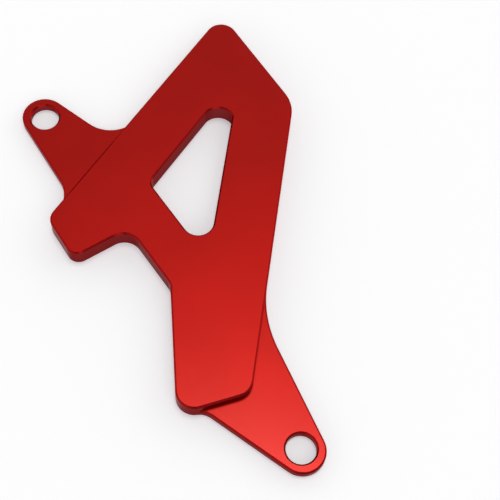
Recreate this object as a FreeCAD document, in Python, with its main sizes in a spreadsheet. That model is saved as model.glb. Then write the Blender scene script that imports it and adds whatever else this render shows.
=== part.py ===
"""Sprocket cover for a small motorbike: one piece milled from aluminium plate.

Frame: origin on the rear face, midway between the two bolt holes. +Y runs from the lower hole to the
upper one, +Z points out of the front face, +X points to the side that the body leans to.
A full-thickness body lies between two thin ears. The ears stop half-way up its wall, run into its outline
on tangent arcs, and each takes one bolt. A window with three sides parallel to the body's outline
lightens it.
"""

import FreeCAD, Part
import Sketcher
import math
import os
from collections import namedtuple

NODE = "sprocket_cover"

# Driving dimensions in millimetres, leans in degrees from the line through both bolt holes
SIZES = {
    "plate_thickness": 4.8,
    "ear_thickness": 2.4,
    "edge_break": 0.4,
    "bolt_spacing": 100.2,
    "bolt_hole_diameter": 6.6,
    "ear_end_radius": 5.1,
    "ear_end_overhang": 0.4,
    "upper_ear_left_lean": 4.1,
    "upper_ear_right_lean": 17.1,
    "lower_ear_right_lean": 11.9,
    "lower_ear_left_lean": 18.4,
    "upper_ear_right_run_in": 8.0,
    "lower_ear_right_run_in": 27.0,
    "lower_ear_left_run_in": 4.0,
    "apex_x": 51.9,
    "apex_y": 49.9,
    "apex_radius": 3.8,
    "foot_land": 0.7,
    "foot_upper_x": -14.5,
    "foot_upper_y": 25.3,
    "foot_upper_radius": 3.4,
    "foot_lower_x": -15.2,
    "foot_lower_y": 13.5,
    "foot_lower_radius": 2.7,
    "crook_x": -0.9,
    "crook_y": 12.5,
    "crook_radius": 4.2,
    "knee_x": -1.2,
    "knee_y": -4.1,
    "knee_radius": 2.9,
    "toe_left_x": -17.4,
    "toe_left_y": -29.6,
    "toe_left_radius": 4.1,
    "toe_right_x": -1.7,
    "toe_right_y": -34.9,
    "toe_right_radius": 4.1,
    "shoulder_x": 50.4,
    "shoulder_y": 18.3,
    "shoulder_radius": 9.2,
    "window_upper_band": 13.5,
    "window_side_band": 14.0,
    "window_left_band": 10.3,
    "window_top_radius": 3.8,
    "window_shoulder_radius": 0.6,
    "window_left_radius": 2.5,
    "window_bottom_radius": 3.6,
}

# The body's sharp corners, counter-clockwise seen from the front
CORNERS = ["apex", "foot_upper", "foot_lower", "crook", "knee", "toe_left", "toe_right", "shoulder"]

# Point positions and fixed items as the sketcher numbers them: the root point and the vertical axis
START, END, CENTRE = range(1, 4)
ORIGIN, Y_AXIS = range(-1, -3, -1)
ON_PLANE = 1e-6

# An arc of an outline in its order of travel; left is true where the outline turns left
Turn = namedtuple("Turn", "centre radius start end left")


def vector(x, y):
    return FreeCAD.Vector(x, y, 0)


def direction(degrees):
    return vector(math.cos(math.radians(degrees)), math.sin(math.radians(degrees)))


def left_of(way):
    return vector(-way.y, way.x)


def unit(start, end):
    return (end - start).normalize()


def crossing(point, way, other_point, other_way):
    """Point where two lines, each given by a point and a direction, cross."""
    gap = other_point - point
    scale = way.x * other_way.y - way.y * other_way.x
    return point + way * ((gap.x * other_way.y - gap.y * other_way.x) / scale)


def round_corner(before, corner, after, radius):
    """Arc tangent to both sides of a corner: its ends lie radius * tan(turn / 2) from the corner."""
    arriving = unit(before, corner)
    leaving = unit(corner, after)
    turn = math.atan2(arriving.x * leaving.y - arriving.y * leaving.x, arriving.dot(leaving))
    reach = radius * math.tan(abs(turn) / 2)
    start = corner - arriving * reach
    inward = left_of(arriving) if turn > 0 else left_of(arriving) * -1
    return Turn(start + inward * radius, radius, start, corner + leaving * reach, turn > 0)


def body_corner(name):
    return vector(SIZES[name + "_x"], SIZES[name + "_y"])


def body_turn(name):
    """Rounded corner of the body's outline."""
    place = CORNERS.index(name)
    before = body_corner(CORNERS[place - 1])
    after = body_corner(CORNERS[(place + 1) % len(CORNERS)])
    return round_corner(before, body_corner(name), after, SIZES[name + "_radius"])


def drive(sketch, constraint, expression):
    """Add a constraint and bind its value to the sheet."""
    place = sketch.addConstraint(constraint)
    sketch.setExpression(f"Constraints[{place}]", expression)


def add_line(sketch, start, end, construction=False):
    return sketch.addGeometry(Part.LineSegment(start, end), construction)


def add_turn(sketch, turn):
    """Add an arc; return its index and the positions of its first and last point in the order of travel."""
    first, last = (turn.start, turn.end) if turn.left else (turn.end, turn.start)
    angles = [math.atan2(p.y - turn.centre.y, p.x - turn.centre.x) for p in (first, last)]
    circle = Part.Circle(turn.centre, FreeCAD.Vector(0, 0, 1), turn.radius)
    place = sketch.addGeometry(Part.ArcOfCircle(circle, angles[0], angles[1]))
    return (place, START, END) if turn.left else (place, END, START)


def draw_outline(sketch, joins):
    """Draw a closed outline of straight lines between joins, each one arc or two arcs tangent to each other.

    Returns the arcs and, for each join, the line that leaves it."""
    arcs = [[add_turn(sketch, turn) for turn in join] for join in joins]
    lines = []
    for place, join in enumerate(joins):
        following = (place + 1) % len(joins)
        line = add_line(sketch, join[-1].end, joins[following][0].start)
        lines.append(line)
    for place, join in enumerate(arcs):
        sketch.addConstraint(Sketcher.Constraint("Tangent", lines[place - 1], END, join[0][0], join[0][1]))
        for arc, next_arc in zip(join, join[1:]):
            sketch.addConstraint(Sketcher.Constraint("Tangent", arc[0], arc[2], next_arc[0], next_arc[1]))
        sketch.addConstraint(Sketcher.Constraint("Tangent", join[-1][0], join[-1][2], lines[place], START))
    return arcs, lines


def add_corner_point(sketch, name):
    """Place one of the body's sharp corners as a construction point driven by the sheet."""
    corner = body_corner(name)
    point = sketch.addGeometry(Part.Point(corner), True)
    drive(sketch, Sketcher.Constraint("DistanceX", ORIGIN, START, point, START, corner.x), f"Sizes.{name}_x")
    drive(sketch, Sketcher.Constraint("DistanceY", ORIGIN, START, point, START, corner.y), f"Sizes.{name}_y")
    return point


def pass_through(sketch, line, points):
    for point in points:
        sketch.addConstraint(Sketcher.Constraint("PointOnObject", point, START, line))


def add_body_side(sketch, points, start, end):
    """Construction line along one side of the body, between two of its sharp corners."""
    line = add_line(sketch, body_corner(start), body_corner(end), True)
    sketch.addConstraint(Sketcher.Constraint("Coincident", line, START, points[start], START))
    sketch.addConstraint(Sketcher.Constraint("Coincident", line, END, points[end], START))
    return line


def drive_radius(sketch, arc, name):
    drive(sketch, Sketcher.Constraint("Radius", arc[0], SIZES[name]), f"Sizes.{name}")


def new_sketch(body, name):
    """Sketch on the body's own XY plane, which is the rear face."""
    sketch = body.newObject("Sketcher::SketchObject", name)
    plane = next(item for item in body.Origin.OriginFeatures if item.Role == "XY_Plane")
    sketch.AttachmentSupport = [(plane, "")]
    sketch.MapMode = "FlatFace"
    return sketch


def edges_at(feature, heights):
    """Names of the edges that lie wholly at one of the given heights."""
    names = []
    for number, edge in enumerate(feature.Shape.Edges, start=1):
        box = edge.BoundBox
        if any(abs(box.ZMin - z) < ON_PLANE and abs(box.ZMax - z) < ON_PLANE for z in heights):
            names.append(f"Edge{number}")
    return names


def break_edges(body, name, base, heights):
    """45 degree edge break on every edge at the given heights."""
    chamfer = body.newObject("PartDesign::Chamfer", name)
    chamfer.Base = (base, edges_at(base, heights))
    chamfer.setExpression("Size", "Sizes.edge_break")
    base.Document.recompute()
    return chamfer


def pocket_through(body, name, sketch, base):
    """Cut a sketch on the rear face up through the whole part, and make sure that it cut."""
    pocket = body.newObject("PartDesign::Pocket", name)
    pocket.Profile = sketch
    pocket.Type = "ThroughAll"
    pocket.Reversed = True
    base.Document.recompute()
    if pocket.Shape.Volume >= base.Shape.Volume:
        raise RuntimeError(f"{name} cut nothing")
    return pocket


def make_sheet(doc):
    sheet = doc.addObject("Spreadsheet::Sheet", "Sizes")
    for row, (name, value) in enumerate(SIZES.items(), start=1):
        sheet.set(f"A{row}", name)
        sheet.set(f"B{row}", str(value))
        sheet.setAlias(f"B{row}", name)
    doc.recompute()


def ear_side(end_y, outward, upward):
    """Side of an ear as a point and its direction: tangent to the ear's round end."""
    return vector(0, end_y) + direction(outward) * SIZES["ear_end_radius"], direction(upward)


def draw_plate(sketch):
    """Outline at ear level: the body's outline with both ears run into it.

    Each ear side is tangent to the round end, whose centre overhangs the bolt hole, and leans from the
    bolt line. Three of them meet the body's straight sides on one tangent arc, the upper left one with an
    arc that leaves a short land before the foot's round. The lower left one runs on a hollow arc straight
    into the toe's round."""
    end_y = SIZES["bolt_spacing"] / 2 + SIZES["ear_end_overhang"]
    lean = {key[:-5]: value for key, value in SIZES.items() if key.endswith("_lean")}
    upper_left = ear_side(end_y, 180 - lean["upper_ear_left"], 90 - lean["upper_ear_left"])
    upper_right = ear_side(end_y, lean["upper_ear_right"], 90 + lean["upper_ear_right"])
    lower_right = ear_side(-end_y, -lean["lower_ear_right"], 90 - lean["lower_ear_right"])
    lower_left = ear_side(-end_y, 180 + lean["lower_ear_left"], 90 + lean["lower_ear_left"])
    apex, foot, toe, shoulder = [body_corner(n) for n in ("apex", "foot_upper", "toe_right", "shoulder")]
    top_side = (apex, unit(apex, foot))
    front_side = (toe, unit(toe, shoulder))
    upper_tip = crossing(*upper_left, *upper_right)
    lower_tip = crossing(*lower_left, *lower_right)
    right_root = crossing(*upper_right, *top_side)
    left_root = crossing(*upper_left, *top_side)
    lower_root = crossing(*lower_right, *front_side)
    end_radius = SIZES["ear_end_radius"]
    foot_round = body_turn("foot_upper")
    left_room = (foot_round.start - left_root).Length - SIZES["foot_land"]
    left_bend = unit(upper_tip, left_root).getAngle(unit(left_root, foot))
    left_run_in = left_room / math.tan(left_bend / 2)

    # Hollow arc from the lower ear's left side into the toe: its centre is one radius off that side
    # and the sum of both radii from the toe's centre
    toe_round = body_turn("toe_left")
    hollow = SIZES["lower_ear_left_run_in"]
    outward = left_of(lower_left[1])
    offset = lower_left[0] + outward * hollow
    along = (toe_round.centre - offset).dot(lower_left[1])
    foot_point = offset + lower_left[1] * along
    aside = (toe_round.centre - foot_point).Length
    back = math.sqrt((toe_round.radius + hollow) ** 2 - aside ** 2)
    hollow_centre = foot_point - lower_left[1] * back
    meeting = toe_round.centre + unit(toe_round.centre, hollow_centre) * toe_round.radius
    toe_part = toe_round._replace(end=meeting)
    run_in = Turn(hollow_centre, hollow, meeting, hollow_centre - outward * hollow, False)

    joins = [
        [body_turn("apex")],
        [round_corner(apex, right_root, upper_tip, SIZES["upper_ear_right_run_in"])],
        [round_corner(right_root, upper_tip, left_root, end_radius)],
        [round_corner(upper_tip, left_root, foot, left_run_in)],
        [foot_round],
        [body_turn("foot_lower")],
        [body_turn("crook")],
        [body_turn("knee")],
        [toe_part, run_in],
        [round_corner(run_in.end, lower_tip, lower_root, end_radius)],
        [round_corner(lower_tip, lower_root, shoulder, SIZES["lower_ear_right_run_in"])],
        [body_turn("shoulder")],
    ]
    arcs, lines = draw_outline(sketch, joins)
    (apex_arc, right_run, upper_end, _, foot_upper_arc, foot_lower_arc, crook_arc, knee_arc,
     toe_arcs, lower_end, lower_run, shoulder_arc) = arcs
    (top_right, upper_right_side, upper_left_side, top_left, foot_side, foot_under, inner_side, leg_side,
     lower_left_side, lower_right_side, front, short_side) = lines

    points = {name: add_corner_point(sketch, name) for name in CORNERS}
    for line, ends in (
        (top_right, ("apex", "foot_upper")),
        (top_left, ("apex", "foot_upper")),
        (foot_side, ("foot_upper", "foot_lower")),
        (foot_under, ("foot_lower", "crook")),
        (inner_side, ("crook", "knee")),
        (leg_side, ("knee", "toe_left")),
        (front, ("toe_right", "shoulder")),
        (short_side, ("shoulder", "apex")),
    ):
        pass_through(sketch, line, [points[end] for end in ends])
    step = add_body_side(sketch, points, "toe_left", "toe_right")
    sketch.addConstraint(Sketcher.Constraint("Tangent", toe_arcs[0][0], step))

    for arc, name in (
        (apex_arc[0], "apex_radius"),
        (right_run[0], "upper_ear_right_run_in"),
        (foot_upper_arc[0], "foot_upper_radius"),
        (foot_lower_arc[0], "foot_lower_radius"),
        (crook_arc[0], "crook_radius"),
        (knee_arc[0], "knee_radius"),
        (toe_arcs[0], "toe_left_radius"),
        (toe_arcs[1], "lower_ear_left_run_in"),
        (lower_run[0], "lower_ear_right_run_in"),
        (shoulder_arc[0], "shoulder_radius"),
        (upper_end[0], "ear_end_radius"),
        (lower_end[0], "ear_end_radius"),
    ):
        drive_radius(sketch, arc, name)
    drive(sketch, Sketcher.Constraint("Distance", top_left, SIZES["foot_land"]), "Sizes.foot_land")
    for arc, side in ((upper_end[0], 1), (lower_end[0], -1)):
        height = f"{side} * (Sizes.bolt_spacing / 2 + Sizes.ear_end_overhang)"
        place_on_bolt_line(sketch, arc[0], side * end_y, height)
    for line, base, sign, name in (
        (upper_right_side, 90, 1, "upper_ear_right"),
        (upper_left_side, -90, -1, "upper_ear_left"),
        (lower_left_side, -90, 1, "lower_ear_left"),
        (lower_right_side, 90, -1, "lower_ear_right"),
    ):
        angle = math.radians(base + sign * lean[name])
        expression = f"{base} deg + {sign} deg * Sizes.{name}_lean"
        drive(sketch, Sketcher.Constraint("Angle", line, angle), expression)


def place_on_bolt_line(sketch, round_item, height, expression):
    """Centre a circle or arc on the bolt line, at a height above the origin that the sheet drives."""
    sketch.addConstraint(Sketcher.Constraint("PointOnObject", round_item, CENTRE, Y_AXIS))
    drive(sketch, Sketcher.Constraint("DistanceY", ORIGIN, START, round_item, CENTRE, height), expression)


def draw_body(sketch):
    """Outline of the full-thickness body: eight rounded corners."""
    arcs, lines = draw_outline(sketch, [[body_turn(name)] for name in CORNERS])
    points = [add_corner_point(sketch, name) for name in CORNERS]
    for place, name in enumerate(CORNERS):
        pass_through(sketch, lines[place], [points[place], points[(place + 1) % len(CORNERS)]])
        drive_radius(sketch, arcs[place][0], name + "_radius")


def draw_bolt_holes(sketch):
    """One clearance hole in each ear."""
    for side in (1, -1):
        hole_y = side * SIZES["bolt_spacing"] / 2
        circle = Part.Circle(vector(0, hole_y), FreeCAD.Vector(0, 0, 1), SIZES["bolt_hole_diameter"] / 2)
        hole = sketch.addGeometry(circle)
        place_on_bolt_line(sketch, hole, hole_y, f"{side} * Sizes.bolt_spacing / 2")
        drive(
            sketch,
            Sketcher.Constraint("Diameter", hole, SIZES["bolt_hole_diameter"]),
            "Sizes.bolt_hole_diameter",
        )


def draw_window(sketch):
    """Window with bands of set width to the body's top, front and inner sides.

    Its top is one arc that leaves the upper side and turns until it runs along the body's short side,
    where a small arc takes it round the shoulder into the front side."""
    apex, foot, crook, knee, toe, shoulder = [
        body_corner(n) for n in ("apex", "foot_upper", "crook", "knee", "toe_right", "shoulder")
    ]
    top_way = unit(apex, foot)
    inner_way = unit(crook, knee)
    front_way = unit(toe, shoulder)
    short_way = unit(shoulder, apex)
    top_point = apex + left_of(top_way) * SIZES["window_upper_band"]
    inner_point = crook + left_of(inner_way) * SIZES["window_left_band"]
    front_point = toe + left_of(front_way) * SIZES["window_side_band"]
    left_corner = crossing(top_point, top_way, inner_point, inner_way)
    bottom_corner = crossing(inner_point, inner_way, front_point, front_way)

    # The small arc's centre lies its radius inside the front side and the top arc's centre further in
    # along the short side's normal, at the top radius under the upper side
    top_radius = SIZES["window_top_radius"]
    small_radius = SIZES["window_shoulder_radius"]
    inward = left_of(short_way)
    small_line = front_point + left_of(front_way) * small_radius
    top_line = top_point + left_of(top_way) * top_radius
    top_centre = crossing(top_line, top_way, small_line + inward * (top_radius - small_radius), front_way)
    small_centre = top_centre - inward * (top_radius - small_radius)
    meeting = small_centre - inward * small_radius
    small_start = small_centre - left_of(front_way) * small_radius
    small_turn = Turn(small_centre, small_radius, small_start, meeting, True)
    top_turn = Turn(top_centre, top_radius, meeting, top_centre - left_of(top_way) * top_radius, True)
    joins = [
        [small_turn, top_turn],
        [round_corner(top_turn.end, left_corner, bottom_corner, SIZES["window_left_radius"])],
        [round_corner(left_corner, bottom_corner, small_turn.start, SIZES["window_bottom_radius"])],
    ]
    arcs, (upper, left, front) = draw_outline(sketch, joins)
    (small_arc, top_arc), (left_arc,), (bottom_arc,) = arcs

    points = {name: add_corner_point(sketch, name) for name in CORNERS}
    sides = {
        "top": add_body_side(sketch, points, "apex", "foot_upper"),
        "inner": add_body_side(sketch, points, "crook", "knee"),
        "front": add_body_side(sketch, points, "toe_right", "shoulder"),
        "short": add_body_side(sketch, points, "shoulder", "apex"),
    }
    for line, side, name in (
        (upper, "top", "window_upper_band"),
        (left, "inner", "window_left_band"),
        (front, "front", "window_side_band"),
    ):
        sketch.addConstraint(Sketcher.Constraint("Parallel", line, sides[side]))
        band = Sketcher.Constraint("Distance", line, START, sides[side], SIZES[name])
        drive(sketch, band, f"Sizes.{name}")
    for arc, name in (
        (small_arc, "window_shoulder_radius"),
        (top_arc, "window_top_radius"),
        (left_arc, "window_left_radius"),
        (bottom_arc, "window_bottom_radius"),
    ):
        drive_radius(sketch, arc, name)
    spoke = add_line(sketch, top_centre, meeting, True)
    sketch.addConstraint(Sketcher.Constraint("Coincident", spoke, START, top_arc[0], CENTRE))
    sketch.addConstraint(Sketcher.Constraint("Coincident", spoke, END, top_arc[0], top_arc[1]))
    sketch.addConstraint(Sketcher.Constraint("Perpendicular", spoke, sides["short"]))


def make_cover(doc):
    """Plate with ears and bolt holes, then the body on it, then the window, with every edge broken."""
    body = doc.addObject("PartDesign::Body", "SprocketCover")
    body.Label = NODE

    plate_sketch = new_sketch(body, "PlateOutline")
    draw_plate(plate_sketch)
    plate = body.newObject("PartDesign::Pad", "Plate")
    plate.Profile = plate_sketch
    plate.setExpression("Length", "Sizes.ear_thickness")
    doc.recompute()

    hole_sketch = new_sketch(body, "BoltHoleCircles")
    draw_bolt_holes(hole_sketch)
    holes = pocket_through(body, "BoltHoles", hole_sketch, plate)
    ears = break_edges(body, "EarEdgeBreak", holes, [SIZES["ear_thickness"]])

    # The body starts inside the plate, so that it fills the plate's front edge break
    # where their walls are flush
    body_sketch = new_sketch(body, "BodyOutline")
    body_sketch.setExpression("AttachmentOffset.Base.z", "Sizes.ear_thickness / 2")
    draw_body(body_sketch)
    block = body.newObject("PartDesign::Pad", "RaisedBody")
    block.Profile = body_sketch
    block.setExpression("Length", "Sizes.plate_thickness - Sizes.ear_thickness / 2")
    doc.recompute()
    if block.Shape.Volume <= ears.Shape.Volume:
        raise RuntimeError("RaisedBody added nothing")

    window_sketch = new_sketch(body, "WindowOutline")
    draw_window(window_sketch)
    window = pocket_through(body, "Window", window_sketch, block)
    break_edges(body, "FaceEdgeBreak", window, [0, SIZES["plate_thickness"]])
    return body


def check(doc, body):
    for item in doc.Objects:
        if {"Invalid", "Error"} & set(item.State):
            raise RuntimeError(f"{item.Name} is {item.State}")
        if item.TypeId == "Sketcher::SketchObject" and not item.FullyConstrained:
            raise RuntimeError(f"{item.Name} is not fully constrained")
    shape = body.Shape
    if shape.isNull() or not shape.isValid() or len(shape.Solids) != 1:
        raise RuntimeError(f"{body.Label} is not one valid solid")


doc = FreeCAD.newDocument("SprocketCover")
make_sheet(doc)
cover = make_cover(doc)
doc.recompute()
check(doc, cover)
os.makedirs("parts", exist_ok=True)
cover.Shape.exportStep(f"parts/{NODE}.step")
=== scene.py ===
"""Looks of the sprocket cover: one red anodised plate lying on a pale studio floor."""

import math

import bpy
from mathutils import Matrix, Vector

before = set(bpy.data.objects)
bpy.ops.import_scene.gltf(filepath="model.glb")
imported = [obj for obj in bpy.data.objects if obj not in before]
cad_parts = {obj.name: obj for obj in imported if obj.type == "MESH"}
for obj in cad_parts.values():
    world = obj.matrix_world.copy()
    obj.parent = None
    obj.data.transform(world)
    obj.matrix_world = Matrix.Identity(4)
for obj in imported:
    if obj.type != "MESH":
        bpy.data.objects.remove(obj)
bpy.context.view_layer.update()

# Cover: one plate milled from aluminium, its edges broken all round, with a thinner ear at each end.
# Its faces were fine blasted, and the whole was then dyed red and anodised.
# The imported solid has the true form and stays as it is, so it only gets this finish.
ANODISED_RED = (0.60, 0.0083, 0.0049, 1.0)
DEEPER_RED = (0.55, 0.0077, 0.0045, 1.0)
# Painted shade: the edge breaks get this dark red for the dark lines they show.
EDGE_RED_PAINTED_SHADE = (0.31, 0.0075, 0.0075, 1.0)
# Painted shade: the walls get this darker, greyer red for the dim floor they reflect beside the cover.
WALL_RED_PAINTED_SHADE = (0.24, 0.028, 0.029, 1.0)
LOW_ANGLE_TINT = (0.62, 0.44, 0.44, 1.0)
WALL_TO_EDGE = (0.35, 0.60)
EDGE_TO_FACE = (0.78, 0.98)
FULL_RANGE = (0.0, 1.0)
CLOUD_PER_METRE = 60.0
CLOUD_DETAIL = 3.0
CLOUD_RANGE = (0.35, 0.65)
BLAST_PER_METRE = 5200.0
BLAST_DETAIL = 2.0
BLAST_DEPTH = 0.00001
BLAST_STRENGTH = 0.15
FACE_ROUGHNESS = (0.34, 0.42)
FEED_PER_METRE = 3200.0
FEED_STRETCH = 0.05
FEED_RANGE = (0.3, 0.7)
MILLED_ROUGHNESS = (0.19, 0.29)
OXIDE_WEIGHT = 0.302
OXIDE_ROUGHNESS = 0.217
OXIDE_IOR = 1.6


def add_node(tree, kind, inputs, **settings):
    """A new node of this kind, with its settings made and then its fixed inputs filled in."""
    node = tree.nodes.new(kind)
    for setting, value in settings.items():
        setattr(node, setting, value)
    for socket, value in inputs.items():
        node.inputs[socket].default_value = value
    return node


def add_range(tree, given, wanted, interpolation="LINEAR"):
    """A value that runs from end to end of wanted while its input runs from end to end of given."""
    sockets = ("From Min", "From Max", "To Min", "To Max")
    ends = dict(zip(sockets, given + wanted))
    return add_node(tree, "ShaderNodeMapRange", ends, interpolation_type=interpolation)


def add_fade(tree, given, colours):
    """A colour that fades from the first to the second while its input runs from end to end of given."""
    fade = tree.nodes.new("ShaderNodeValToRGB")
    for stop, position, colour in zip(fade.color_ramp.elements, given, colours):
        stop.position = position
        stop.color = colour
    return fade


def connect(tree, wires):
    """Each wire runs from an output of one node to an input of another."""
    for source, output, target, entry in wires:
        tree.links.new(source.outputs[output], target.inputs[entry])


def anodised_aluminium():
    """Dyed metal, finished by how level the surface is: the upward share of its normal, without its sign.

    Level faces have dye clouds about two centimetres wide, a blast grain a fifth of a millimetre wide in
    roughness and relief, and a thin clear oxide. Upright walls get a darker, greyer red, which is painted
    shade for the dim floor they reflect, with upright feed marks in their roughness. The edge breaks,
    halfway between, get a dark red of their own, which is painted shade for the dark lines along them.
    """
    material = bpy.data.materials.new("red_anodised_aluminium")
    material.use_nodes = True
    tree = material.node_tree
    metal = tree.nodes["Principled BSDF"]
    metal.inputs["Metallic"].default_value = 1.0
    metal.inputs["Specular Tint"].default_value = LOW_ANGLE_TINT
    metal.inputs["Coat Roughness"].default_value = OXIDE_ROUGHNESS
    metal.inputs["Coat IOR"].default_value = OXIDE_IOR

    place = tree.nodes.new("ShaderNodeTexCoord")
    upward = tree.nodes.new("ShaderNodeSeparateXYZ")
    level = add_node(tree, "ShaderNodeMath", {}, operation="ABSOLUTE")
    on_face = add_range(tree, EDGE_TO_FACE, FULL_RANGE)
    connect(tree, (
        (place, "Normal", upward, "Vector"),
        (upward, "Z", level, 0),
        (level, "Value", on_face, "Value"),
    ))

    cloud = add_node(tree, "ShaderNodeTexNoise", {"Scale": CLOUD_PER_METRE, "Detail": CLOUD_DETAIL})
    dye = add_fade(tree, CLOUD_RANGE, (DEEPER_RED, ANODISED_RED))
    # The walls and edge breaks get their painted-shade reds here, darker than the dye.
    painted_shade_cut = add_fade(tree, WALL_TO_EDGE, (WALL_RED_PAINTED_SHADE, EDGE_RED_PAINTED_SHADE))
    colour = add_node(tree, "ShaderNodeMix", {}, data_type="RGBA")
    oxide = add_node(tree, "ShaderNodeMath", {1: OXIDE_WEIGHT}, operation="MULTIPLY")
    connect(tree, (
        (place, "Object", cloud, "Vector"),
        (cloud, "Fac", dye, "Fac"),
        (level, "Value", painted_shade_cut, "Fac"),
        (on_face, "Result", colour, "Factor"),
        (painted_shade_cut, "Color", colour, "A"),
        (dye, "Color", colour, "B"),
        (colour, "Result", metal, "Base Color"),
        (on_face, "Result", oxide, 0),
        (oxide, "Value", metal, "Coat Weight"),
    ))

    grain = add_node(tree, "ShaderNodeTexNoise", {"Scale": BLAST_PER_METRE, "Detail": BLAST_DETAIL})
    relief = add_node(tree, "ShaderNodeBump", {"Strength": BLAST_STRENGTH, "Distance": BLAST_DEPTH})
    blasted = add_range(tree, FULL_RANGE, FACE_ROUGHNESS)
    upended = add_node(tree, "ShaderNodeMapping", {"Scale": (1.0, 1.0, FEED_STRETCH)})
    feed = add_node(tree, "ShaderNodeTexNoise", {"Scale": FEED_PER_METRE})
    milled = add_range(tree, FEED_RANGE, MILLED_ROUGHNESS)
    roughness = tree.nodes.new("ShaderNodeMix")
    connect(tree, (
        (place, "Object", grain, "Vector"),
        (grain, "Fac", relief, "Height"),
        (relief, "Normal", metal, "Normal"),
        (grain, "Fac", blasted, "Value"),
        (place, "Object", upended, "Vector"),
        (upended, "Vector", feed, "Vector"),
        (feed, "Fac", milled, "Value"),
        (on_face, "Result", roughness, "Factor"),
        (milled, "Result", roughness, "A"),
        (blasted, "Result", roughness, "B"),
        (roughness, "Result", metal, "Roughness"),
    ))
    return material


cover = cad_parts["sprocket_cover"]
cover.data.materials.clear()
cover.data.materials.append(anodised_aluminium())

# Floor: a wide sheet of matt white paper, laid flat a hair under the cover, which rests on it.
# To the camera and in reflections it also glows a little, so it shows white and still keeps the shadow.
FLOOR_HALF = 8.0
FLOOR_Z = -0.00002
FLOOR_WHITE = (0.92, 0.92, 0.92, 1.0)
FLOOR_GLOW = 0.37
FLOOR_GLOW_TINT = (0.93, 0.93, 1.0, 1.0)
floor_mesh = bpy.data.meshes.new("floor")
floor_corners = [(x * FLOOR_HALF, y * FLOOR_HALF, FLOOR_Z) for x, y in ((-1, -1), (1, -1), (1, 1), (-1, 1))]
floor_mesh.from_pydata(floor_corners, [], [(0, 1, 2, 3)])
floor = bpy.data.objects.new("floor", floor_mesh)
bpy.context.scene.collection.objects.link(floor)
paper = bpy.data.materials.new("white_paper")
paper.use_nodes = True
paper_tree = paper.node_tree
matt = paper_tree.nodes["Principled BSDF"]
matt.inputs["Base Color"].default_value = FLOOR_WHITE
matt.inputs["Roughness"].default_value = 1.0
matt.inputs["Specular IOR Level"].default_value = 0.0
matt.inputs["Emission Color"].default_value = FLOOR_GLOW_TINT
ray = paper_tree.nodes.new("ShaderNodeLightPath")
seen = add_node(paper_tree, "ShaderNodeMath", {}, operation="MAXIMUM")
seen_or_through = add_node(paper_tree, "ShaderNodeMath", {}, operation="MAXIMUM")
glow = add_node(paper_tree, "ShaderNodeMath", {1: FLOOR_GLOW}, operation="MULTIPLY")
connect(paper_tree, (
    (ray, "Is Camera Ray", seen, 0),
    (ray, "Is Glossy Ray", seen, 1),
    (seen, "Value", seen_or_through, 0),
    (ray, "Is Transmission Ray", seen_or_through, 1),
    (seen_or_through, "Value", glow, 0),
    (glow, "Value", matt, "Emission Strength"),
))
floor_mesh.materials.append(paper)

# Light: a round softbox overhead, slightly warm, and a dim wide one in front that draws the rims.
# The room is dim, and darkest overhead to the left. A ring of light round its horizon is open at the front.
WHITE = (1.0, 1.0, 1.0)
KEY_LEAN = (0.122, 0.092)
KEY_WIDTH = math.radians(16.8)
KEY_POWER = 0.525
KEY_TINT = (1.0, 1.0, 0.88)
FRONT_LEAN = (-0.31, -1.03)
FRONT_WIDTH = math.radians(42)
FRONT_POWER = 0.40
DARK_SIDE = (-0.524, 0.163, 0.836)
ROOM_LIGHT_TO_DARK = (0.791, 0.145)
RING_LIGHT = 0.70
RING_RISE = (0.35, 0.75)
FRONT_GAP = (-0.80, -0.35)
for name, lean, width, power, tint in (
    ("key_softbox", KEY_LEAN, KEY_WIDTH, KEY_POWER, KEY_TINT),
    ("front_softbox", FRONT_LEAN, FRONT_WIDTH, FRONT_POWER, WHITE),
):
    lamp = bpy.data.objects.new(name, bpy.data.lights.new(name, "SUN"))
    lamp.data.color = tint
    lamp.data.energy = power
    lamp.data.angle = width
    lamp.rotation_mode = "QUATERNION"
    lamp.rotation_quaternion = Vector((*lean, 1.0)).to_track_quat("Z", "Y")
    bpy.context.scene.collection.objects.link(lamp)
room = bpy.data.worlds.new("room")
room.use_nodes = True
room_tree = room.node_tree
walls = room_tree.nodes["Background"]
walls.inputs["Color"].default_value = (*WHITE, 1.0)
way = room_tree.nodes.new("ShaderNodeTexCoord")
to_dark = add_node(room_tree, "ShaderNodeVectorMath", {1: DARK_SIDE}, operation="DOT_PRODUCT")
shade = add_range(room_tree, (-1.0, 1.0), ROOM_LIGHT_TO_DARK)
compass = room_tree.nodes.new("ShaderNodeSeparateXYZ")
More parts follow.
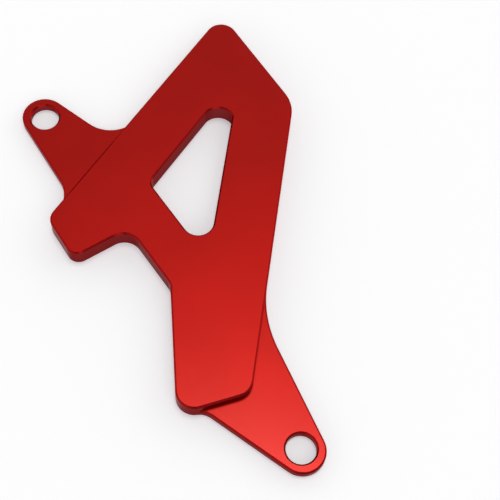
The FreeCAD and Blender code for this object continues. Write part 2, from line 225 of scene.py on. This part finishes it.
low = add_range(room_tree, RING_RISE, (RING_LIGHT, 0.0), "SMOOTHSTEP")
not_front = add_range(room_tree, FRONT_GAP, FULL_RANGE, "SMOOTHSTEP")
ring = add_node(room_tree, "ShaderNodeMath", {}, operation="MULTIPLY")
shade_and_ring = add_node(room_tree, "ShaderNodeMath", {}, operation="ADD")
connect(room_tree, (
    (way, "Generated", to_dark, 0),
    (to_dark, "Value", shade, "Value"),
    (way, "Generated", compass, "Vector"),
    (compass, "Z", low, "Value"),
    (compass, "Y", not_front, "Value"),
    (low, "Result", ring, 0),
    (not_front, "Result", ring, 1),
    (shade, "Result", shade_and_ring, 0),
    (ring, "Value", shade_and_ring, 1),
    (shade_and_ring, "Value", walls, "Strength"),
))
bpy.context.scene.world = room

# Camera: above the lower left of the cover, looking down at it, with a long lens.
# Its place and angles were solved from the cover's outline and holes. The focal length is in image pixels.
CAMERA_PLACE = (-0.0572, -0.090769, 0.224383)
CAMERA_YAW = math.radians(-132.154)
CAMERA_TILT = math.radians(27.043)
CAMERA_ROLL = math.radians(6.213)
FOCAL_PIXELS = 1100.0
IMAGE_PIXELS = 500.0
SENSOR_MM = 36.0
camera = bpy.data.objects.new("camera", bpy.data.cameras.new("camera"))
camera.data.sensor_width = SENSOR_MM
camera.data.lens = FOCAL_PIXELS / IMAGE_PIXELS * SENSOR_MM
level_back = Vector((math.cos(CAMERA_YAW), math.sin(CAMERA_YAW), 0.0))
level_right = Vector((-math.sin(CAMERA_YAW), math.cos(CAMERA_YAW), 0.0))
back = level_back * math.sin(CAMERA_TILT) + Vector((0.0, 0.0, math.cos(CAMERA_TILT)))
level_up = back.cross(level_right)
right = level_right * math.cos(CAMERA_ROLL) + level_up * math.sin(CAMERA_ROLL)
up = level_up * math.cos(CAMERA_ROLL) - level_right * math.sin(CAMERA_ROLL)
camera.matrix_world = Matrix.Translation(CAMERA_PLACE) @ Matrix((right, up, back)).transposed().to_4x4()
bpy.context.scene.collection.objects.link(camera)
bpy.context.scene.camera = camera
bpy.context.scene.view_settings.view_transform = "Standard"
